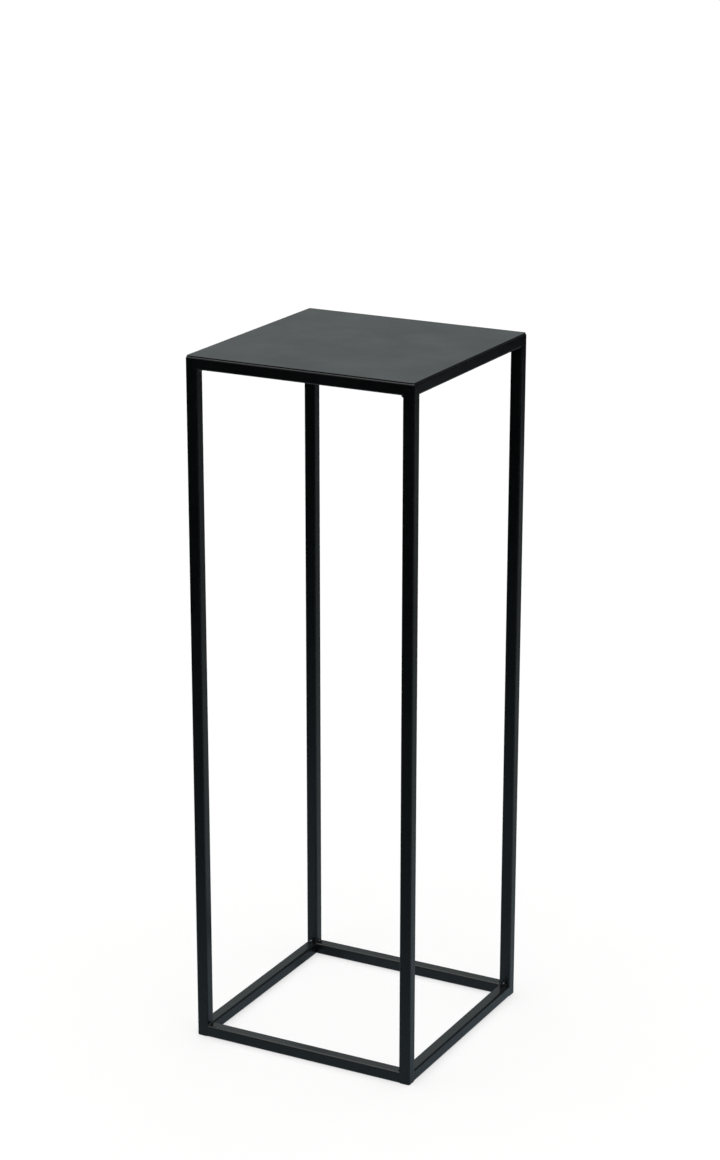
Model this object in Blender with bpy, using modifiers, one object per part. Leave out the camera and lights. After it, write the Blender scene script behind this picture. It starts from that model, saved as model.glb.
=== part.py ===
"""Display plinth: a tall open stand of square steel tube with a sheet steel top.

Metres, +Z up. The origin is on the floor under the middle of the stand, and the front
faces -Y. Four legs stand under a mitred top frame, and four rails are butted between
the legs at the floor. Everything is joined by weld beads, and plastic plugs close the
lower ends of the legs.
"""
import math

import bmesh
import bpy
from mathutils import Matrix, Vector

# Overall size
WIDTH = 0.240
DEPTH = 0.240
HEIGHT = 0.700

# Square steel tube, the same for legs and rails
TUBE_SIDE = 0.012
TUBE_WALL = 0.001
TUBE_CORNER_RADIUS = 0.002
TUBE_CORNER_SEGMENTS = 4

# Sheet top, set in a little from the outer faces of the frame
SHEET_THICKNESS = 0.0008
SHEET_INSET = 0.0008
SHEET_CORNER_RADIUS = 0.0015
SHEET_CORNER_SEGMENTS = 4

# Plastic plug in the lower end of each leg: a core with fins that grip the tube
PLUG_LENGTH = 0.012
PLUG_HEAD_THICKNESS = 0.002
PLUG_FIN_THICKNESS = 0.001
PLUG_FIN_COUNT = 3
PLUG_FIN_DEPTH = 0.0012
PLUG_CLEARANCE = 0.0003

# Weld beads: the size is how far the bead reaches up each of the two faces it joins
BOTTOM_WELD_SIZE = 0.002
TOP_WELD_SIZE = 0.003
MITRE_WELD_SIZE = 0.002
PLATE_TACK_SIZE = 0.0015
PLATE_TACK_LENGTH = 0.015
PLATE_TACK_FROM_CORNER = 0.050
WELD_BULGE = 0.12
WELD_ARC_SEGMENTS = 5

# Space left between two pieces that touch
GAP = 0.0003

SIDES = ("front", "right", "back", "left")
CORNERS = ("front_left", "front_right", "back_right", "back_left")
QUARTER_TURN = math.pi / 2

# Heights that follow from the sizes above
FRAME_TOP = HEIGHT - SHEET_THICKNESS - GAP
FRAME_UNDERSIDE = FRAME_TOP - TUBE_SIDE
LEG_LENGTH = FRAME_UNDERSIDE - GAP
TUBE_FLAT = TUBE_SIDE - 2 * TUBE_CORNER_RADIUS


def clear_scene():
    """Start from an empty scene."""
    for old in list(bpy.data.objects):
        bpy.data.objects.remove(old, do_unlink=True)


def new_collection(name):
    """A collection of the given name, linked to the scene."""
    collection = bpy.data.collections.new(name)
    bpy.context.scene.collection.children.link(collection)
    return collection


def new_material(name, colour, roughness, metallic):
    """A Principled BSDF material."""
    material = bpy.data.materials.new(name)
    material.use_nodes = True
    shader = material.node_tree.nodes["Principled BSDF"]
    shader.inputs["Base Color"].default_value = (*colour, 1.0)
    shader.inputs["Roughness"].default_value = roughness
    shader.inputs["Metallic"].default_value = metallic
    material.diffuse_color = (*colour, 1.0)
    return material


def add_object(name, data, collection, parent=None, location=(0, 0, 0), rotation=(0, 0, 0)):
    """Put mesh or curve data in a collection, placed in its parent's space."""
    item = bpy.data.objects.new(name, data)
    collection.objects.link(item)
    item.parent = parent
    item.location = location
    item.rotation_euler = rotation
    return item


def set_material(item, material):
    """Give an object its one material."""
    item.data.materials.clear()
    item.data.materials.append(material)


def shade(mesh):
    """Smooth shading with sharp edges kept."""
    mesh.shade_smooth()
    mesh.set_sharp_from_angle(angle=math.radians(40))


def rounded_bar(name, size, axis, radius, segments, open_ends=False):
    """A box on the origin whose four edges along one axis are rounded."""
    bm = bmesh.new()
    bmesh.ops.create_cube(bm, size=1.0)
    bmesh.ops.scale(bm, vec=Vector(size), verts=bm.verts)
    long_edges = []
    for edge in bm.edges:
        along = edge.verts[0].co - edge.verts[1].co
        if abs(along[axis]) > 0.5 * size[axis]:
            long_edges.append(edge)
    bmesh.ops.bevel(
        bm,
        geom=long_edges,
        offset=radius,
        offset_type="OFFSET",
        segments=segments,
        profile=0.5,
        affect="EDGES",
    )
    if open_ends:
        ends = [face for face in bm.faces if abs(face.normal[axis]) > 0.9]
        bmesh.ops.delete(bm, geom=ends, context="FACES_ONLY")
    mesh = bpy.data.meshes.new(name)
    bm.to_mesh(mesh)
    bm.free()
    shade(mesh)
    return mesh


def add_tube(name, length, collection, parent, location, rotation):
    """A length of hollow square tube along its own X axis, cut square at both ends."""
    size = (length, TUBE_SIDE, TUBE_SIDE)
    skin = rounded_bar(name, size, 0, TUBE_CORNER_RADIUS, TUBE_CORNER_SEGMENTS, open_ends=True)
    tube = add_object(name, skin, collection, parent, location, rotation)
    wall = tube.modifiers.new("wall", "SOLIDIFY")
    wall.thickness = TUBE_WALL
    wall.offset = -1.0
    wall.use_even_offset = True
    return tube


def mitre_ends(tube, length, cutters):
    """Cut both ends of a tube at 45 degrees, its -Y face being the long one."""
    block = 4 * TUBE_SIDE
    for end in (-1, 1):
        outward = Vector((end, 1, 0)).normalized()
        on_plane = Vector((end * (length - TUBE_SIDE) / 2, 0, 0))
        centre = on_plane + outward * (block - GAP) / 2
        cutter_name = f"{tube.name}_mitre_{'start' if end < 0 else 'finish'}"
        mesh = bpy.data.meshes.new(cutter_name)
        bm = bmesh.new()
        bmesh.ops.create_cube(bm, size=block)
        bm.to_mesh(mesh)
        bm.free()
        cutter = add_object(cutter_name, mesh, cutters, tube, centre, (0, 0, math.pi / 4))
        cutter.hide_render = True
        cutter.display_type = "WIRE"
        cut = tube.modifiers.new(cutter_name, "BOOLEAN")
        cut.operation = "DIFFERENCE"
        cut.solver = "EXACT"
        cut.object = cutter


def bead_outline(size):
    """Outline of a weld bead in the corner of two faces, its open side a little proud."""
    points = [Vector((0, 0))]
    for step in range(WELD_ARC_SEGMENTS + 1):
        share = step / WELD_ARC_SEGMENTS
        straight = Vector((size * (1 - share), size * share))
        proud = WELD_BULGE * size * math.sin(math.pi * share)
        points.append(straight + Vector((proud, proud)))
    return points


def add_bead(name, size, length, collection, parent, location, rotation):
    """A straight weld bead; its outline is in its own XY plane, and it runs along Z."""
    outline = bead_outline(size)
    curve = bpy.data.curves.new(name, "CURVE")
    curve.dimensions = "2D"
    curve.fill_mode = "BOTH"
    curve.extrude = length / 2
    spline = curve.splines.new("POLY")
    spline.points.add(len(outline) - 1)
    for point, place in zip(spline.points, outline):
        point.co = (place.x, place.y, 0, 1)
    spline.use_cyclic_u = True
    return add_object(name, curve, collection, parent, location, rotation)


def add_plug(name, collection, cutters, parent, location):
    """A finned square plug, its flat head at the bottom, all of it inside the tube."""
    head_side = TUBE_SIDE - 2 * TUBE_WALL - 2 * PLUG_CLEARANCE
    core_side = head_side - 2 * PLUG_FIN_DEPTH
    radius = TUBE_CORNER_RADIUS - TUBE_WALL - PLUG_CLEARANCE
    head_size = (head_side, head_side, PLUG_HEAD_THICKNESS)
    head = rounded_bar(name, head_size, 2, radius, TUBE_CORNER_SEGMENTS)
    head.transform(Matrix.Translation((0, 0, PLUG_HEAD_THICKNESS / 2)))
    plug = add_object(name, head, collection, parent, location)

    core_height = PLUG_LENGTH - PLUG_HEAD_THICKNESS / 2
    core_size = (core_side, core_side, core_height)
    core_middle = PLUG_HEAD_THICKNESS / 2 + core_height / 2
    pieces = [("core", core_size, core_middle)]
    fin_pitch = (PLUG_LENGTH - PLUG_HEAD_THICKNESS) / PLUG_FIN_COUNT
    fin_size = (head_side, head_side, PLUG_FIN_THICKNESS)
    for index in range(PLUG_FIN_COUNT):
        fin_middle = PLUG_HEAD_THICKNESS + (index + 0.75) * fin_pitch
        pieces.append((f"fin_{index + 1}", fin_size, fin_middle))
    for label, size, middle in pieces:
        piece_name = f"{name}_{label}"
        mesh = rounded_bar(piece_name, size, 2, radius, TUBE_CORNER_SEGMENTS)
        piece = add_object(piece_name, mesh, cutters, plug, (0, 0, middle))
        piece.hide_render = True
        piece.display_type = "WIRE"
        union = plug.modifiers.new(piece_name, "BOOLEAN")
        union.operation = "UNION"
        union.solver = "EXACT"
        union.object = piece
    return plug


def add_top_plate(stand, material):
    """The sheet that lies on the top frame."""
    size = (WIDTH - 2 * SHEET_INSET, DEPTH - 2 * SHEET_INSET, SHEET_THICKNESS)
    sheet = rounded_bar("top_plate", size, 2, SHEET_CORNER_RADIUS, SHEET_CORNER_SEGMENTS)
    middle = (0, 0, HEIGHT - SHEET_THICKNESS / 2)
    plate = add_object("top_plate", sheet, stand, None, middle)
    set_material(plate, material)


def add_side(index, stand, cutters, materials):
    """One side of the stand with the leg at its start, in the side's own space.

    The side's own X runs along its rails, and its own -Y is outward. The four sides
    follow each other round the stand, so each one's start is the last one's finish.
    """
    side = SIDES[index]
    starts_at = SIDES[index - 1]
    finishes_at = SIDES[(index + 1) % len(SIDES)]
    corner = CORNERS[index]
    along_width = side in ("front", "back")
    span = WIDTH if along_width else DEPTH
    reach = (DEPTH if along_width else WIDTH) / 2
    middle_line = TUBE_SIDE / 2 - reach
    inner_line = TUBE_SIDE + GAP - reach
    leg_line = span / 2 - TUBE_SIDE / 2
    weld_line = span / 2 - TUBE_SIDE - GAP
    rail_length = 2 * weld_line

    centre = add_object(f"{side}_side", None, stand, None, (0, 0, 0), (0, 0, index * QUARTER_TURN))

    top_middle = (0, middle_line, FRAME_TOP - TUBE_SIDE / 2)
    top_rail = add_tube(f"top_rail_{side}", span, stand, centre, top_middle, (0, 0, 0))
    mitre_ends(top_rail, span, cutters)
    bottom_middle = (0, middle_line, TUBE_SIDE / 2)
    bottom_rail = add_tube(f"bottom_rail_{side}", rail_length, stand, centre, bottom_middle, (0, 0, 0))
    leg_middle = (-leg_line, middle_line, LEG_LENGTH / 2)
    leg = add_tube(f"leg_{corner}", LEG_LENGTH, stand, centre, leg_middle, (0, QUARTER_TURN, 0))
    for tube in (top_rail, bottom_rail, leg):
        set_material(tube, materials["steel"])

    foot = (-leg_line, middle_line, 0)
    plug = add_plug(f"leg_plug_{corner}", stand, cutters, centre, foot)
    set_material(plug, materials["plastic"])

    beads = []
    for end, neighbour in ((-1, starts_at), (1, finishes_at)):
        inward = 0 if end < 0 else math.pi
        bottom_corner = (end * weld_line, middle_line, TUBE_SIDE + GAP)
        beads.append(
            add_bead(
                f"bottom_weld_{side}_rail_{neighbour}",
                BOTTOM_WELD_SIZE,
                TUBE_FLAT,
                stand,
                centre,
                bottom_corner,
                (QUARTER_TURN, 0, inward),
            )
        )
        top_corner = (end * weld_line, middle_line, FRAME_UNDERSIDE - GAP)
        beads.append(
            add_bead(
                f"top_weld_{side}_rail_{neighbour}",
                TOP_WELD_SIZE,
                TUBE_FLAT,
                stand,
                centre,
                top_corner,
                (-QUARTER_TURN, 0, inward),
            )
        )
        tack_place = (
            end * (span / 2 - PLATE_TACK_FROM_CORNER),
            inner_line,
            HEIGHT - SHEET_THICKNESS - GAP,
        )
        beads.append(
            add_bead(
                f"plate_tack_{side}_{neighbour}",
                PLATE_TACK_SIZE,
                PLATE_TACK_LENGTH,
                stand,
                centre,
                tack_place,
                (-QUARTER_TURN, 0, QUARTER_TURN),
            )
        )
    mitre_place = (-weld_line, inner_line, FRAME_TOP - TUBE_SIDE / 2)
    beads.append(
        add_bead(
            f"mitre_weld_{corner}",
            MITRE_WELD_SIZE,
            TUBE_FLAT,
            stand,
            centre,
            mitre_place,
            (0, 0, 0),
        )
    )
    for bead in beads:
        set_material(bead, materials["weld"])


def build():
    """Make the whole stand."""
    clear_scene()
    stand = new_collection("display_plinth")
    cutters = new_collection("cutters")
    materials = {
        "steel": new_material("black_powder_coat", (0.018, 0.021, 0.021), 0.42, 0.0),
        "weld": new_material("coated_weld", (0.020, 0.023, 0.023), 0.38, 0.0),
        "plastic": new_material("black_plastic", (0.012, 0.012, 0.012), 0.6, 0.0),
    }
    add_top_plate(stand, materials["steel"])
    for index in range(len(SIDES)):
        add_side(index, stand, cutters, materials)
    bpy.context.view_layer.update()


build()
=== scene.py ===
"""Looks of the display plinth: black satin powder coat on welded square tube and sheet steel.

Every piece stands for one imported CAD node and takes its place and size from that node's
box. The tubes, beads, plugs and sheet are built again with their fine shapes: rounded
long edges, ends that fit the tube they are welded to, rippled beads and soft cut edges.
"""

import math
import random

import bmesh
import bpy
from mathutils import Matrix, Vector, noise


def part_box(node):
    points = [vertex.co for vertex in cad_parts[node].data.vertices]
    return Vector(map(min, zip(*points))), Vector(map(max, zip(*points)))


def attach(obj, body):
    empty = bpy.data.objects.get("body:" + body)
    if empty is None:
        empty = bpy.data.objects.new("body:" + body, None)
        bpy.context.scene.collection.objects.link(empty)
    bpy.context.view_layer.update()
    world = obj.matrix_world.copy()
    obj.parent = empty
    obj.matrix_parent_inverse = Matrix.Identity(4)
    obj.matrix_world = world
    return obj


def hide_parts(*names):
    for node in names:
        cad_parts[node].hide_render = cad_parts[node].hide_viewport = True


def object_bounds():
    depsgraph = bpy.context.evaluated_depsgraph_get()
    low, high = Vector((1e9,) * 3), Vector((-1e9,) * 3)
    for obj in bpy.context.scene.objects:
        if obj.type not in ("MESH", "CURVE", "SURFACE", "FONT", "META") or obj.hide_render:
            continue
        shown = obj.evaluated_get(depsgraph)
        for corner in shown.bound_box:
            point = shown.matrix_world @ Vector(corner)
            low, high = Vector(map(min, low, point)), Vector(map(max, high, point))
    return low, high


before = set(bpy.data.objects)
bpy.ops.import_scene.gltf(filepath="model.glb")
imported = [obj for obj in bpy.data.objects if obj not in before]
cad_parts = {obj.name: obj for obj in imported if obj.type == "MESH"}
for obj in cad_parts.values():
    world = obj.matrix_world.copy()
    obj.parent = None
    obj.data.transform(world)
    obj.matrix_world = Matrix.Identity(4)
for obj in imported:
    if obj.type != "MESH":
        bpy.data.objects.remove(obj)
cad_low, cad_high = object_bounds()

MM = 0.001
QUARTER_TURN = math.pi / 2

# The stand's sides and corners follow each other anticlockwise, seen from above
SIDES = ("front", "right", "back", "left")
CORNERS = ("front_left", "front_right", "back_right", "back_left")
WIDTH = cad_high.x - cad_low.x
DEPTH = cad_high.y - cad_low.y

# Square tube, as in the CAD model
TUBE_WALL = 1.0 * MM
TUBE_RADIUS = 2.0 * MM
ARC_STEPS = 8

# Fine shapes that only the looks have; FUSE is how far welded pieces run into each other
SHARP_ANGLE = math.radians(38)
MERGE_DISTANCE = 0.001 * MM
FUSE = 0.05 * MM
FOOT_EDGE_RADIUS = 0.8 * MM
EDGE_STEPS = 3
GROUND_CORNER_RADIUS = 2.0 * MM
GROUND_CORNER_STEPS = 4
SHEET_CORNER_RADIUS = 1.5 * MM
SHEET_EDGE_RADIUS = 0.12 * MM
JOINT_REACH = 14 * MM
JOINT_STATIONS = (1.5 * MM, 4 * MM, 8 * MM, JOINT_REACH)

# Weld beads; a tack's root reaches through the gap between rail and sheet
BEAD_STEPS = 48
BEAD_ARC_STEPS = 10
BEAD_RIPPLE_PITCH = 1.3 * MM
BEAD_RIPPLE = 0.16 * MM
BEAD_RIPPLE_SHAPE = 0.8
BEAD_SWIRL = 0.35 * MM
BEAD_DRIFT = 0.14
BEAD_DRIFT_PITCH = 3 * MM
BEAD_TAPER = 1.6
BEAD_TIP = 0.02 * MM
BEAD_LEAN = 0.1
BEAD_BULGE = (0.10, 0.22)
BEAD_OVERHANG = 0.6 * MM
TACK_ROOT = 1.2 * MM

# The beads that are lumps, with how much bigger and how much of the length they are
LUMPS = {
    "bottom_weld_right_rail_back": (2.1, 0.70),
    "bottom_weld_left_rail_back": (2.1, 0.62),
    "bottom_weld_back_rail_left": (1.5, 0.70),
    "bottom_weld_left_rail_front": (1.3, 0.80),
    "top_weld_front_rail_right": (1.15, 1.0),
}

# Leg plugs: a dished head that closes the tube, and a core with fins that grip it
PLUG_HEAD = 2.0 * MM
PLUG_ROUNDING = 0.3 * MM
PLUG_CORNER_RADIUS = 0.7 * MM
PLUG_CORNER_STEPS = 4
PLUG_CORE_INSET = 1.2 * MM
PLUG_DISH = 0.35 * MM
PLUG_DISH_INSET = 1.6 * MM
PLUG_DISH_MIDDLE = 0.9 * MM
PLUG_FINS = 3
PLUG_FIN_PLACE = 0.75
PLUG_FIN_HALF = 0.5 * MM
PLUG_FIN_TIP = 0.2 * MM

# Camera: its direction and distance from the middle of the stand, and its aim beside and above it
CAMERA_AZIMUTH = math.radians(28.126)
CAMERA_ELEVATION = math.radians(18.997)
CAMERA_DISTANCE = 2.8886
CAMERA_ASIDE = -6.887 * MM
CAMERA_RAISED = 24.263 * MM
CAMERA_LENS = 90.80
CAMERA_SENSOR = 36.0
CAMERA_SHIFT = (0.0072, 0.0749)


# ---------------------------------------------------------------- mesh building


def rounded_outline(half_x, half_y, radius, steps=ARC_STEPS):
    """Points of a rounded rectangle, anticlockwise, and how near each is to the middle of its arc."""
    points = []
    shares = []
    for corner in range(4):
        sign_x = (1, -1, -1, 1)[corner]
        sign_y = (1, 1, -1, -1)[corner]
        centre = Vector((sign_x * (half_x - radius), sign_y * (half_y - radius)))
        for step in range(steps + 1):
            angle = (corner + step / steps) * QUARTER_TURN
            points.append(centre + radius * Vector((math.cos(angle), math.sin(angle))))
            shares.append(math.sin(math.pi * step / steps))
    return points, shares


def new_mesh():
    """An empty bmesh with the two weights that the materials read."""
    bm = bmesh.new()
    bm.verts.layers.float.new("edge")
    bm.verts.layers.float.new("joint")
    return bm


def add_skin(bm, rings):
    """Quads between rings of points, all with as many points; returns the rings of vertices."""
    made = [[bm.verts.new(point) for point in ring] for ring in rings]
    for low, high in zip(made, made[1:]):
        join_rings(bm, low, high)
    return made


def join_rings(bm, low, high):
    """Quads between two rings of vertices."""
    for index in range(len(low)):
        after = (index + 1) % len(low)
        bm.faces.new((low[index], low[after], high[after], high[index]))


def add_weights(bm, name, made, values):
    """Set one of the weights on each vertex of the rings."""
    layer = bm.verts.layers.float[name]
    for ring, row in zip(made, values):
        for vertex, value in zip(ring, row):
            vertex[layer] = value


def finish_piece(name, bm, node, material, place=None):
    """Turn a bmesh into a named piece that stands for one CAD node."""
    bmesh.ops.remove_doubles(bm, verts=bm.verts, dist=MERGE_DISTANCE)
    bmesh.ops.recalc_face_normals(bm, faces=bm.faces)
    mesh = bpy.data.meshes.new(name)
    bm.to_mesh(mesh)
    bm.free()
    if place is not None:
        mesh.transform(place)
    mesh.shade_smooth()
    mesh.set_sharp_from_angle(angle=SHARP_ANGLE)
    mesh.materials.append(material)
    piece = bpy.data.objects.new(name, mesh)
    bpy.context.scene.collection.objects.link(piece)
    flat_faces = piece.modifiers.new("flat_faces", "WEIGHTED_NORMAL")
    flat_faces.keep_sharp = True
    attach(piece, "root")
    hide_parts(node)
    return piece


def shoulder_drop(offset, half):
    """How far a tube's rounded edge falls away below its flat, at an offset from its middle line."""
    beyond = min(max(0.0, abs(offset) - (half - TUBE_RADIUS)), TUBE_RADIUS)
    return TUBE_RADIUS - math.sqrt(TUBE_RADIUS * TUBE_RADIUS - beyond * beyond)


def frame_lift():
    """How far the mitred frame rises to close the gap that the CAD model leaves under the sheet."""
    _, rail_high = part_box("top_rail_front")
    plate_low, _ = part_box("top_plate")
    return plate_low.z - rail_high.z


def side_place(index):
    """The turn that takes a side's own space, with -Y outward, to its place in the stand."""
    return Matrix.Rotation(index * QUARTER_TURN, 4, "Z")


def side_sizes(index):
    """Length of a side's rails, corner to corner, and how far its outer face is from the middle."""
    along_width = SIDES[index] in ("front", "back")
    span = WIDTH if along_width else DEPTH
    reach = (DEPTH if along_width else WIDTH) / 2
    return span, reach


# ---------------------------------------------------------------- tubes


def build_tube(name, place, material, half, stations, end_point):
    """A hollow tube; end_point(station, u, v) places one point of the section at one station."""
    outer, arc = rounded_outline(half, half, TUBE_RADIUS)
    inner, _ = rounded_outline(half - TUBE_WALL, half - TUBE_WALL, TUBE_RADIUS - TUBE_WALL)
    bm = new_mesh()
    skins = []
    for section in (outer, inner):
        rings = [[end_point(station, p.x, p.y) for p in section] for station in stations]
        skins.append(add_skin(bm, rings))
    for end in (0, -1):
        join_rings(bm, skins[0][end], skins[1][end])
    joint = [[station["joint"]] * len(outer) for station in stations]
    edge = [arc for _ in stations]
    for made in skins:
        add_weights(bm, "joint", made, joint)
        add_weights(bm, "edge", made, edge)
    return finish_piece(name, bm, name, material, place)


def joint_stations(length):
    """Stations along a tube with a joint at each end, each with its nearness to the joint."""
    stations = [{"at": 0.0, "end": -1, "joint": 1.0}]
    for reach in JOINT_STATIONS:
        stations.append({"at": reach, "end": 0, "joint": 1.0 - reach / JOINT_REACH})
    for reach in reversed(JOINT_STATIONS):
        stations.append({"at": length - reach, "end": 0, "joint": 1.0 - reach / JOINT_REACH})
    stations.append({"at": length, "end": 1, "joint": 1.0})
    return stations


def build_leg(index, material):
    """One leg: its foot is ground a little round, and its top follows the mitred frame's underside."""
    name = f"leg_{CORNERS[index]}"
    low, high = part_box(name)
    rail_low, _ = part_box(f"top_rail_{SIDES[index]}")
    half = (high.x - low.x) / 2
    centre_x = (low.x + high.x) / 2
    centre_y = (low.y + high.y) / 2
    out_x = math.copysign(1.0, centre_x)
    out_y = math.copysign(1.0, centre_y)
    stations = joint_stations(rail_low.z + frame_lift() - low.z)[1:]
    for step in reversed(range(EDGE_STEPS + 1)):
        angle = step / EDGE_STEPS * QUARTER_TURN
        inset = FOOT_EDGE_RADIUS * (1 - math.cos(angle))
        lift = FOOT_EDGE_RADIUS * (1 - math.sin(angle))
        station = {"at": lift, "end": -1, "joint": 1.0, "inset": inset}
        stations.insert(EDGE_STEPS - step, station)

    def point(station, u, v):
        on_outside = max(abs(u), abs(v)) > half - TUBE_WALL + MERGE_DISTANCE
        inset = station.get("inset", 0.0) if on_outside else 0.0
        keep = 1 - inset / half
        height = low.z + station["at"]
        if station["end"] > 0:
            flat = half - TUBE_RADIUS
            outward = math.hypot(max(0.0, u * out_x - flat), max(0.0, v * out_y - flat))
            height += shoulder_drop(flat + outward, half) + FUSE
        return Vector((centre_x + u * keep, centre_y + v * keep, height))

    return build_tube(name, None, material, half, stations, point)


def build_bottom_rail(index, material):
    """One bottom rail: both ends are closed up to the rounded edges of the legs."""
    name = f"bottom_rail_{SIDES[index]}"
    span, reach = side_sizes(index)
    low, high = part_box(name)
    half = (high.z - low.z) / 2
    length = span - 4 * half
    stations = joint_stations(length)

    def point(station, u, v):
        along = station["at"] - length / 2
        along += station["end"] * (shoulder_drop(u, half) + FUSE)
        return Vector((along, half - reach - u, low.z + half + v))

    return build_tube(name, side_place(index), material, half, stations, point)


def build_top_rail(index, material):
    """One rail of the mitred top frame; its outer edge is ground round at both corners."""
    name = f"top_rail_{SIDES[index]}"
    span, reach = side_sizes(index)
    low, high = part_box(name)
    half = (high.z - low.z) / 2
    pivot = half - GROUND_CORNER_RADIUS
    length = span - 4 * half
    stations = joint_stations(length)
    for station in stations:
        station["turn"] = 0.0
        station["end"] = 0
    for step in range(GROUND_CORNER_STEPS + 1):
        turn = step / GROUND_CORNER_STEPS
        stations.insert(0, {"at": 0.0, "end": -1, "joint": 1.0, "turn": turn})
        stations.append({"at": length, "end": 1, "joint": 1.0, "turn": turn})

    def point(station, u, v):
        """u is outward. Past the pivot the section swings round the corner instead of running on."""
        along = station["at"] - length / 2
        outward = u
        if station["end"]:
            if u > pivot:
                swing = station["turn"] * math.pi / 4
                run = half + pivot + (u - pivot) * math.sin(swing)
                outward = pivot + (u - pivot) * math.cos(swing)
            else:
                run = (half + u) * (0.5 + 0.5 * station["turn"]) + FUSE * station["turn"]
            along += station["end"] * run
        return Vector((along, half - reach - outward, low.z + frame_lift() + half + v))

    return build_tube(name, side_place(index), material, half, stations, point)


# ---------------------------------------------------------------- sheet, plugs and beads


def build_top_plate(material):
    """The sheet: its cut edges are softened by the coat."""
    low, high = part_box("top_plate")
    centre = (low + high) / 2
    half_x = (high.x - low.x) / 2
    half_y = (high.y - low.y) / 2
    thickness = high.z - low.z
    rings = []
    edges = []
    for lower in (True, False):
        for step in range(EDGE_STEPS + 1):
            angle = step / EDGE_STEPS * QUARTER_TURN
            inset = SHEET_EDGE_RADIUS * (1 - (math.sin(angle) if lower else math.cos(angle)))
            rise = SHEET_EDGE_RADIUS * ((1 - math.cos(angle)) if lower else math.sin(angle))
            height = low.z + (rise if lower else thickness - SHEET_EDGE_RADIUS + rise)
            outline, _ = rounded_outline(half_x - inset, half_y - inset, SHEET_CORNER_RADIUS - inset)
            rings.append([Vector((centre.x + p.x, centre.y + p.y, height)) for p in outline])
            edges.append([1.0] * len(outline))
    bm = new_mesh()
    made = add_skin(bm, rings)
    bm.faces.new(made[0])
    bm.faces.new(made[-1])
    add_weights(bm, "edge", made, edges)
    return finish_piece("top_plate", bm, "top_plate", material)


def build_plug(index, material):
    """A moulded insert: a dished head, then a core with fins."""
    name = f"leg_plug_{CORNERS[index]}"
    low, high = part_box(name)
    half = (high.x - low.x) / 2
    height = high.z - low.z
    core = half - PLUG_CORE_INSET
    profile = [
        (PLUG_DISH, PLUG_DISH_MIDDLE),
        (PLUG_DISH, half - PLUG_DISH_INSET),
        (0.0, core),
        (0.0, half - PLUG_ROUNDING),
        (PLUG_ROUNDING, half),
        (PLUG_HEAD, half),
        (PLUG_HEAD, core),
    ]
    pitch = (height - PLUG_HEAD) / PLUG_FINS
    for fin in range(PLUG_FINS):
        middle = PLUG_HEAD + (fin + PLUG_FIN_PLACE) * pitch
        profile.append((middle - PLUG_FIN_HALF, core))
        profile.append((middle - PLUG_FIN_TIP, half))
        profile.append((middle + PLUG_FIN_HALF, core))
    profile[-1] = (height, core)
    rings = []
    centre = (low + high) / 2
    for lift, side in profile:
        radius = min(PLUG_CORNER_RADIUS, side / 2)
        outline, _ = rounded_outline(side, side, radius, PLUG_CORNER_STEPS)
        rings.append([Vector((centre.x + p.x, centre.y + p.y, low.z + lift)) for p in outline])
    bm = new_mesh()
    made = add_skin(bm, rings)
    bm.faces.new(made[0])
    bm.faces.new(made[-1])
    return finish_piece(name, bm, name, material)


def bead_reach(along, length, offset, size):
    """A bead's reach at one place along it: full in the middle, rounded off at its ends."""
    end_room = 0.5 * length - abs(along)
    taper_length = min(0.5 * length, BEAD_TAPER * size)
    share = min(1.0, end_room / taper_length)
    taper = math.sqrt(max(0.0, share * (2 - share)))
    ripple = abs(math.sin(math.pi * (along / BEAD_RIPPLE_PITCH + offset))) ** BEAD_RIPPLE_SHAPE
    drift = noise.noise(Vector((along / BEAD_DRIFT_PITCH, offset, 0.0)))
    return size * taper * (1.0 + BEAD_DRIFT * drift) + BEAD_RIPPLE * taper * (ripple - 1.0)


def build_bead(name, length, place, material, root=FUSE):
    """A rippled weld bead along Z, in the corner of two faces that run along local +X and +Y."""
    low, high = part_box(name)
    swell, shorten = LUMPS.get(name, (1.0, 1.0))
    size = min(high - low) * swell
    length *= shorten
    rng = random.Random(name)
    offset = rng.uniform(0, 50)
    lean = rng.uniform(-BEAD_LEAN, BEAD_LEAN)
    bulge = rng.uniform(*BEAD_BULGE) * swell
    rings = []
    for step in range(BEAD_STEPS + 1):
        along = (step / BEAD_STEPS - 0.5) * length
        reach = max(BEAD_TIP, bead_reach(along, length, offset, size))
        ring = [Vector((-root, -FUSE, along))]
        for arc in range(BEAD_ARC_STEPS + 1):
            share = arc / BEAD_ARC_STEPS
            proud = bulge * reach * math.sin(math.pi * share)
            swirl = 0.5 * (1 - math.cos(2 * math.pi * share)) * BEAD_SWIRL
            x = reach * (1 + lean) * (1 - share) + proud - (FUSE if share == 1 else 0)
            y = reach * (1 - lean) * share + proud - (FUSE if share == 0 else 0)
            ring.append(Vector((x, y, along + swirl)))
        rings.append(ring)
    bm = new_mesh()
    made = add_skin(bm, rings)
    bm.faces.new(made[0])
    bm.faces.new(made[-1])
    return finish_piece(name, bm, name, material, place)


def turned(location, rx, rz):
    """A place with a turn about X and then about Z."""
    return Matrix.Translation(location) @ Matrix.Rotation(rz, 4, "Z") @ Matrix.Rotation(rx, 4, "X")


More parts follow.
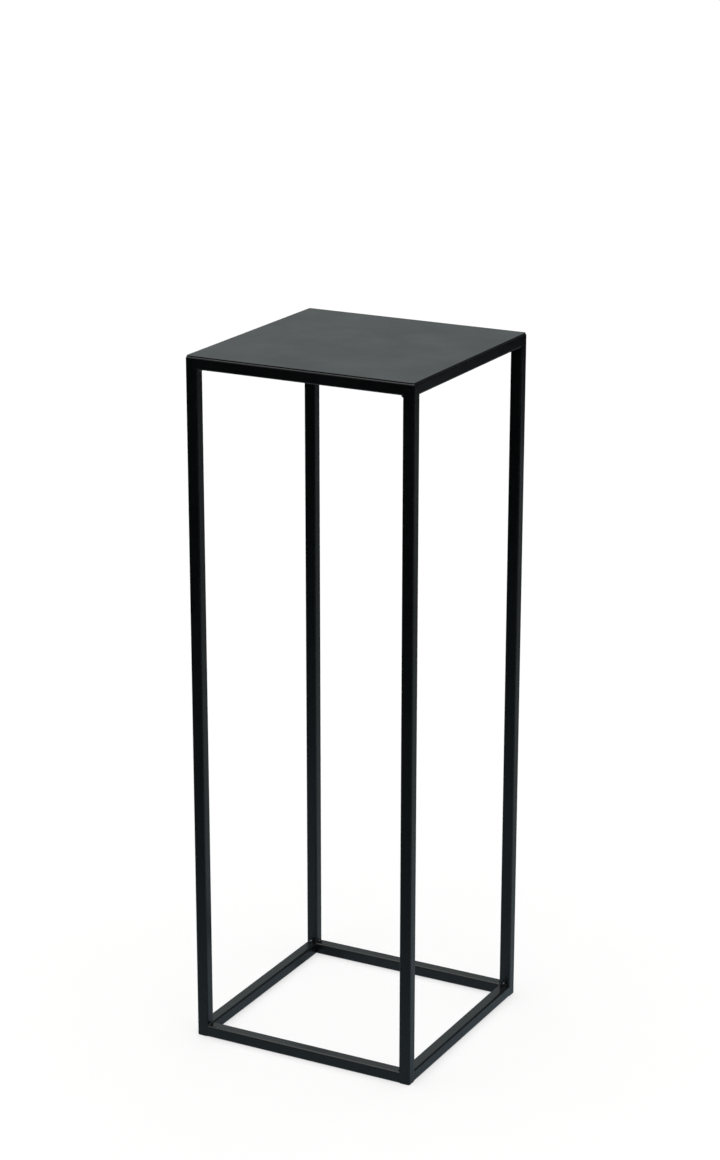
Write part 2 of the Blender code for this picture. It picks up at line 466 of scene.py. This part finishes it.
def build_side_beads(index, material):
    """All the weld beads of one side, placed against the faces that they join."""
    side = SIDES[index]
    ends = ((-1, SIDES[index - 1]), (1, SIDES[(index + 1) % 4]))
    span, reach = side_sizes(index)
    rail_low, rail_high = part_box(f"bottom_rail_{side}")
    top_low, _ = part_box(f"top_rail_{side}")
    plate_low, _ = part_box("top_plate")
    under_frame = top_low.z + frame_lift()
    tube = rail_high.z - rail_low.z
    flat = tube - 2 * TUBE_RADIUS
    across = flat + 2 * BEAD_OVERHANG
    middle_line = tube / 2 - reach
    weld_line = span / 2 - tube
    for end, neighbour in ends:
        inward = 0 if end < 0 else math.pi
        name = f"bottom_weld_{side}_rail_{neighbour}"
        place = turned((end * weld_line, middle_line, rail_high.z), QUARTER_TURN, inward)
        build_bead(name, across, side_place(index) @ place, material)

        name = f"top_weld_{side}_rail_{neighbour}"
        place = turned((end * weld_line, middle_line, under_frame), -QUARTER_TURN, inward)
        build_bead(name, across, side_place(index) @ place, material)

        name = f"plate_tack_{side}_{neighbour}"
        low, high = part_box(name)
        length = max(high.x - low.x, high.y - low.y)
        along = end * abs(middle_along(low, high, index))
        place = turned((along, tube - reach, plate_low.z), -QUARTER_TURN, QUARTER_TURN)
        build_bead(name, length, side_place(index) @ place, material, TACK_ROOT)

    name = f"mitre_weld_{CORNERS[index]}"
    low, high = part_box(name)
    place = Matrix.Translation((-weld_line, tube - reach, (low.z + high.z) / 2))
    build_bead(name, high.z - low.z, side_place(index) @ place, material)


def middle_along(low, high, index):
    """How far along its own side a node's middle is."""
    middle = side_place(index).inverted() @ ((low + high) / 2)
    return middle.x


# ---------------------------------------------------------------- materials


class Shader:
    """The node tree of a material or of the world, built a node at a time."""

    def __init__(self, owner):
        owner.use_nodes = True
        self.tree = owner.node_tree

    @property
    def surface(self):
        """A material's own Principled shader."""
        return self.tree.nodes["Principled BSDF"]

    def show(self, shader_node):
        """Make a material show another shader in place of its own."""
        self.feed(self.tree.nodes["Material Output"].inputs["Surface"], shader_node.outputs[0])

    def add(self, kind, inputs=None, **settings):
        """A node with its settings; each input is a number, a colour or another node's output."""
        node = self.tree.nodes.new(kind)
        for name, value in settings.items():
            setattr(node, name, value)
        for name, value in (inputs or {}).items():
            self.feed(node.inputs[name], value)
        return node

    def feed(self, socket, value):
        """Link an output to an input, or set the input's own value."""
        if isinstance(value, bpy.types.NodeSocket):
            self.tree.links.new(value, socket)
        else:
            socket.default_value = value

    def noise(self, place, scale, detail=2.0, roughness=0.5):
        """Noise at so many cells a metre."""
        inputs = {"Vector": place, "Scale": scale, "Detail": detail, "Roughness": roughness}
        return self.add("ShaderNodeTexNoise", inputs).outputs["Fac"]

    def spread(self, value, from_low, from_high, to_low, to_high):
        """A value carried from one range to another, held at the ends."""
        inputs = {0: value, 1: from_low, 2: from_high, 3: to_low, 4: to_high}
        return self.add("ShaderNodeMapRange", inputs).outputs[0]

    def maths(self, operation, a, b):
        """One operation on two values."""
        return self.add("ShaderNodeMath", {0: a, 1: b}, operation=operation).outputs[0]

    def mix(self, share, a, b):
        """A colour between two colours."""
        node = self.add("ShaderNodeMix", {"Factor": share}, data_type="RGBA")
        self.feed(node.inputs[6], a)
        self.feed(node.inputs[7], b)
        return node.outputs[2]

    def bump(self, height, distance, below=None):
        """A bump on top of another one."""
        inputs = {"Height": height, "Distance": distance, "Strength": 1.0}
        if below is not None:
            inputs["Normal"] = below
        return self.add("ShaderNodeBump", inputs).outputs["Normal"]


# Powder coat: its colour where the film is full, paler in clouds, and thin and worn on edges
COAT_COLOUR = (0.0024, 0.0034, 0.0036, 1.0)
COAT_PALE = (0.0038, 0.0052, 0.0054, 1.0)
COAT_WORN = (0.040, 0.043, 0.044, 1.0)
COAT_SPECULAR = 0.5

# Noise in the coat, in cells a metre, and the depths of what it raises
BROAD_CELLS = 22.0
CLOUD_CELLS = 90.0
GROUND_CELLS = 260.0
CHIP_CELLS = 420.0
PEEL_CELLS = 480.0
GRAIN_CELLS = 3200.0
GRAIN_SHARE = 0.35
GROUND_DEPTH = 0.10 * MM

# The part of each noise or weight that counts, and what it adds to the roughness
NOISE_SPAN = (0.3, 0.7)
CLOUD_SPAN = (0.35, 0.7)
WORN_EDGE = (0.75, 1.0)
WORN_CHIPS = (0.54, 0.66)
BROAD_ROUGHNESS = (-0.03, 0.04)
GRAIN_ROUGHNESS = (-0.015, 0.02)
JOINT_SMOOTHER = -0.03

PLASTIC_DARK = (0.010, 0.010, 0.011, 1.0)
PLASTIC_PALE = (0.018, 0.018, 0.019, 1.0)
PLASTIC_ROUGHNESS = (0.52, 0.66)
PLASTIC_FLOW_CELLS = 160.0
PLASTIC_TEXTURE_CELLS = 2600.0
PLASTIC_TEXTURE_DEPTH = 0.03 * MM

# Stage: the floor and backdrop, as the camera sees them
STAGE_REACH = 30.0
FLOOR_COLOUR = (0.90, 0.895, 0.89, 1.0)
FLOOR_GLOW = 0.55
FLOOR_DROP = 0.1 * MM
BACKDROP_COLOUR = (1.0, 1.0, 1.0, 1.0)

# Studio: world light by the height and side that it comes from
SOFTBOX_RADIANCE = 2.0
SOFTBOX_EDGE = (0.55, 0.80)
ROOM_RADIANCE = 0.06
BOUNCE_RADIANCE = 0.25
HORIZON = (-0.05, 0.05)
WINDOW_RADIANCE = 0.22
WINDOW_FACING = (-0.2, -0.7)
WINDOW_HEIGHT = (0.10, 0.25)

# Light pool: a painted pool of light on the floor's mirror image, seen only in the coat's gloss; its
# colour in front, behind and far off
POOL_FRONT = (0.36, 0.46, 0.535, 1.0)
POOL_BACK = (0.26, 0.295, 0.31, 1.0)
POOL_MIDDLE = (0.15, 0.35, 0.0)
POOL_REACH = 1.3
POOL_TURN = (-0.2, 0.5)
POOL_FADE = (-1.4, 0.1)
POOL_FAR = (1.4, 2.0)
POOL_FAR_STRENGTH = 0.8
POOL_DROP = 15 * MM

# Key light, and the wall's mirror image
KEY_PLACE = (1.1, -0.1, 3.0)
KEY_SIZE = 0.45
KEY_POWER = 32.0
WALL_COLOUR = (0.90, 1.0, 1.0, 1.0)
WALL_RADIANCE = 0.65
WALL_DISTANCE = 2.2
WALL_HALF_HEIGHT = 3.0
WALL_FADE_ACROSS = (-0.4, 0.7)
WALL_FADE_UP = (-2.8, -1.4)
WALL_DIMMEST = 0.1


def powder_coat(name, rough, peel, wear):
    """Black powder coat: orange peel, a fine grain, uneven gloss, and a thinner film along edges."""
    material = bpy.data.materials.new(name)
    shader = Shader(material)
    place = shader.add("ShaderNodeTexCoord").outputs["Object"]
    edge = shader.add("ShaderNodeAttribute", attribute_name="edge").outputs["Fac"]
    joint = shader.add("ShaderNodeAttribute", attribute_name="joint").outputs["Fac"]
    broad = shader.noise(place, BROAD_CELLS, 3.0)
    cloud = shader.noise(place, CLOUD_CELLS, 3.0, 0.6)
    orange_peel = shader.noise(place, PEEL_CELLS, 1.5)
    grain = shader.noise(place, GRAIN_CELLS, 2.0)

    tone = shader.spread(cloud, *CLOUD_SPAN, 0.0, 1.0)
    colour = shader.mix(tone, COAT_COLOUR, COAT_PALE)
    chips = shader.noise(place, CHIP_CELLS, 3.0, 0.65)
    worn = shader.maths("MULTIPLY", shader.spread(edge, *WORN_EDGE, 0.0, 1.0), wear)
    worn = shader.maths("MULTIPLY", worn, shader.spread(chips, *WORN_CHIPS, 0.0, 1.0))
    colour = shader.mix(worn, colour, COAT_WORN)
    shader.feed(shader.surface.inputs["Base Color"], colour)

    least, most = BROAD_ROUGHNESS
    uneven = shader.spread(broad, *NOISE_SPAN, rough + least, rough + most)
    uneven = shader.maths("ADD", uneven, shader.spread(grain, *NOISE_SPAN, *GRAIN_ROUGHNESS))
    uneven = shader.maths("ADD", uneven, shader.maths("MULTIPLY", joint, JOINT_SMOOTHER))
    shader.feed(shader.surface.inputs["Roughness"], uneven)
    shader.surface.inputs["Specular IOR Level"].default_value = COAT_SPECULAR
    shader.surface.inputs["Metallic"].default_value = 0.0

    peeled = shader.bump(orange_peel, peel)
    grained = shader.bump(grain, GRAIN_SHARE * peel, peeled)
    ground = shader.maths("MULTIPLY", shader.noise(place, GROUND_CELLS, 2.0), joint)
    worked = shader.bump(ground, GROUND_DEPTH, grained)
    shader.feed(shader.surface.inputs["Normal"], worked)
    return material


def moulded_plastic():
    """Matt black moulded plastic with a fine spark-eroded texture."""
    material = bpy.data.materials.new("black_moulded_plastic")
    shader = Shader(material)
    place = shader.add("ShaderNodeTexCoord").outputs["Object"]
    texture = shader.noise(place, PLASTIC_TEXTURE_CELLS, 3.0, 0.7)
    flow = shader.noise(place, PLASTIC_FLOW_CELLS, 2.0)
    share = shader.spread(flow, *NOISE_SPAN, 0.0, 1.0)
    colour = shader.mix(share, PLASTIC_DARK, PLASTIC_PALE)
    shader.feed(shader.surface.inputs["Base Color"], colour)
    rough = shader.spread(texture, *NOISE_SPAN, *PLASTIC_ROUGHNESS)
    shader.feed(shader.surface.inputs["Roughness"], rough)
    shader.feed(shader.surface.inputs["Normal"], shader.bump(texture, PLASTIC_TEXTURE_DEPTH))
    return material


# ---------------------------------------------------------------- stage


def stage_sheet(name, size, material):
    """A flat square on the stage, which isn't part of the object."""
    bm = bmesh.new()
    bmesh.ops.create_grid(bm, x_segments=1, y_segments=1, size=size)
    mesh = bpy.data.meshes.new(name)
    bm.to_mesh(mesh)
    bm.free()
    mesh.materials.append(material)
    sheet = bpy.data.objects.new(name, mesh)
    bpy.context.scene.collection.objects.link(sheet)
    return sheet


def build_floor():
    """A plain pale floor that shows from above only, so that the underside can be looked at too."""
    material = bpy.data.materials.new("pale_floor")
    shader = Shader(material)
    shader.surface.inputs["Base Color"].default_value = FLOOR_COLOUR
    shader.surface.inputs["Roughness"].default_value = 1.0
    shader.surface.inputs["Specular IOR Level"].default_value = 0.0
    glow = shader.add("ShaderNodeEmission", {"Color": BACKDROP_COLOUR, "Strength": 1.0}).outputs[0]
    lit = shader.surface.outputs["BSDF"]
    soft = shader.add("ShaderNodeMixShader", {0: FLOOR_GLOW, 1: lit, 2: glow}).outputs[0]
    below = shader.add("ShaderNodeNewGeometry").outputs["Backfacing"]
    clear = shader.add("ShaderNodeBsdfTransparent").outputs[0]
    shader.show(shader.add("ShaderNodeMixShader", {0: below, 1: soft, 2: clear}))
    floor = stage_sheet("floor", STAGE_REACH, material)
    floor.location.z = cad_low.z - FLOOR_DROP
    floor.visible_diffuse = False
    floor.visible_glossy = False
    return floor


def build_backdrop():
    """A plain pale dome far behind everything, which lights nothing."""
    bm = bmesh.new()
    bmesh.ops.create_icosphere(bm, subdivisions=4, radius=STAGE_REACH)
    mesh = bpy.data.meshes.new("backdrop")
    bm.to_mesh(mesh)
    bm.free()
    material = bpy.data.materials.new("pale_backdrop")
    shader = Shader(material)
    shader.show(shader.add("ShaderNodeEmission", {"Color": BACKDROP_COLOUR, "Strength": 1.0}))
    mesh.materials.append(material)
    backdrop = bpy.data.objects.new("backdrop", mesh)
    bpy.context.scene.collection.objects.link(backdrop)
    for sight in ("visible_diffuse", "visible_glossy", "visible_transmission", "visible_shadow"):
        setattr(backdrop, sight, False)
    return backdrop


def only_mirrored(sheet):
    """Leave a part of the stage to be seen only in the gloss of the coat."""
    for sight in ("visible_camera", "visible_diffuse", "visible_transmission", "visible_shadow"):
        setattr(sheet, sight, False)
    return sheet


def build_light_pool():
    """A painted pool of light on the floor as the coat mirrors it: pale just behind the stand, dimmer,
    then pale far off.
    """
    material = bpy.data.materials.new("light_pool")
    shader = Shader(material)
    place = shader.add("ShaderNodeTexCoord").outputs["Object"]
    away = shader.add("ShaderNodeVectorMath", {0: place, 1: POOL_MIDDLE}, operation="DISTANCE")
    share = shader.maths("DIVIDE", away.outputs["Value"], POOL_REACH)
    fall = shader.maths("MULTIPLY", shader.maths("POWER", share, 2.0), -1.0)
    depth = shader.add("ShaderNodeSeparateXYZ", {0: place}).outputs["Y"]
    front = shader.spread(depth, *POOL_FADE, 0.0, 1.0)
    near = shader.maths("MULTIPLY", shader.maths("EXPONENT", fall, 0.0), front)
    far = shader.spread(depth, *POOL_FAR, 0.0, POOL_FAR_STRENGTH)
    strength = shader.maths("ADD", near, far)
    tint = shader.mix(shader.spread(depth, *POOL_TURN, 0.0, 1.0), POOL_FRONT, POOL_BACK)
    # The pool of light is painted into the sheet's colour, bluer in front and fading with distance
    colour = shader.mix(strength, (0.0, 0.0, 0.0, 1.0), tint)
    shader.show(shader.add("ShaderNodeBsdfDiffuse", {"Color": colour}))
    pool = stage_sheet("light_pool", STAGE_REACH, material)
    pool.location.z = cad_low.z - POOL_DROP
    return only_mirrored(pool)


def build_wall():
    """The wall behind as the coat mirrors it: pale high up on the left, dim low down and right."""
    material = bpy.data.materials.new("wall")
    shader = Shader(material)
    place = shader.add("ShaderNodeTexCoord").outputs["Object"]
    split = shader.add("ShaderNodeSeparateXYZ", {0: place}).outputs
    across = shader.spread(split["X"], *WALL_FADE_ACROSS, 1.0, WALL_DIMMEST)
    upward = shader.spread(split["Y"], *WALL_FADE_UP, WALL_DIMMEST, 1.0)
    strength = shader.maths("MULTIPLY", shader.maths("MULTIPLY", across, upward), WALL_RADIANCE)
    shader.show(shader.add("ShaderNodeEmission", {"Color": WALL_COLOUR, "Strength": strength}))
    wall = stage_sheet("wall", WALL_HALF_HEIGHT, material)
    wall.location = (0, WALL_DISTANCE, WALL_HALF_HEIGHT)
    wall.rotation_euler = (QUARTER_TURN, 0, 0)
    return only_mirrored(wall)


def build_world():
    """The studio: a wide softbox overhead, a dim room, light off the floor, and a glow in front."""
    world = bpy.data.worlds.new("studio")
    bpy.context.scene.world = world
    shader = Shader(world)
    background = world.node_tree.nodes["Background"]
    direction = shader.add("ShaderNodeTexCoord").outputs["Generated"]
    split = shader.add("ShaderNodeSeparateXYZ", {0: direction}).outputs
    height = split["Z"]
    room = shader.spread(height, *HORIZON, BOUNCE_RADIANCE, ROOM_RADIANCE)
    softbox = shader.spread(height, *SOFTBOX_EDGE, 0.0, SOFTBOX_RADIANCE)
    facing = shader.spread(split["Y"], *WINDOW_FACING, 0.0, WINDOW_RADIANCE)
    window = shader.maths("MULTIPLY", facing, shader.spread(height, *WINDOW_HEIGHT, 0.0, 1.0))
    glow = shader.maths("ADD", room, window)
    background.inputs["Color"].default_value = (1.0, 1.0, 1.0, 1.0)
    shader.feed(background.inputs["Strength"], shader.maths("ADD", glow, softbox))
    return world


def build_key_light():
    """A small softbox high on the right, which only glints on welds and corners."""
    data = bpy.data.lights.new("key_light", "AREA")
    data.shape = "SQUARE"
    data.size = KEY_SIZE
    data.energy = KEY_POWER
    key = bpy.data.objects.new("key_light", data)
    key.location = KEY_PLACE
    aim = Vector((0, 0, cad_low.z)) - key.location
    key.rotation_euler = aim.to_track_quat("-Z", "Y").to_euler()
    key.visible_diffuse = False
    key.visible_camera = False
    bpy.context.scene.collection.objects.link(key)
    return key


def build_camera():
    """The camera, a little above the stand's top and to the right of its front."""
    data = bpy.data.cameras.new("camera")
    data.lens = CAMERA_LENS
    data.sensor_width = CAMERA_SENSOR
    data.shift_x, data.shift_y = CAMERA_SHIFT
    data.clip_end = 2 * STAGE_REACH
    right = Vector((math.cos(CAMERA_AZIMUTH), math.sin(CAMERA_AZIMUTH), 0))
    ahead = Vector((-right.y, right.x, 0))
    back = Vector((0, 0, math.sin(CAMERA_ELEVATION))) - ahead * math.cos(CAMERA_ELEVATION)
    up = back.cross(right)
    middle = Vector((0, 0, (cad_low.z + cad_high.z) / 2))
    aim = middle + right * CAMERA_ASIDE + up * CAMERA_RAISED
    camera = bpy.data.objects.new("camera", data)
    turn = Matrix((right, up, back)).transposed().to_4x4()
    camera.matrix_world = Matrix.Translation(aim + back * CAMERA_DISTANCE) @ turn
    bpy.context.scene.collection.objects.link(camera)
    bpy.context.scene.camera = camera
    return camera


# ---------------------------------------------------------------- the whole scene

sheet_coat = powder_coat("sheet_powder_coat", 0.38, 0.024 * MM, 0.35)
tube_coat = powder_coat("tube_powder_coat", 0.28, 0.034 * MM, 0.5)
weld_coat = powder_coat("weld_powder_coat", 0.26, 0.020 * MM, 0.0)
plastic = moulded_plastic()

build_top_plate(sheet_coat)
for side_index in range(len(SIDES)):
    build_top_rail(side_index, tube_coat)
    build_leg(side_index, tube_coat)
    build_bottom_rail(side_index, tube_coat)
    build_plug(side_index, plastic)
    build_side_beads(side_index, weld_coat)

build_floor()
build_backdrop()
build_light_pool()
build_wall()
build_world()
build_key_light()
build_camera()
bpy.context.scene.view_settings.view_transform = "Standard"
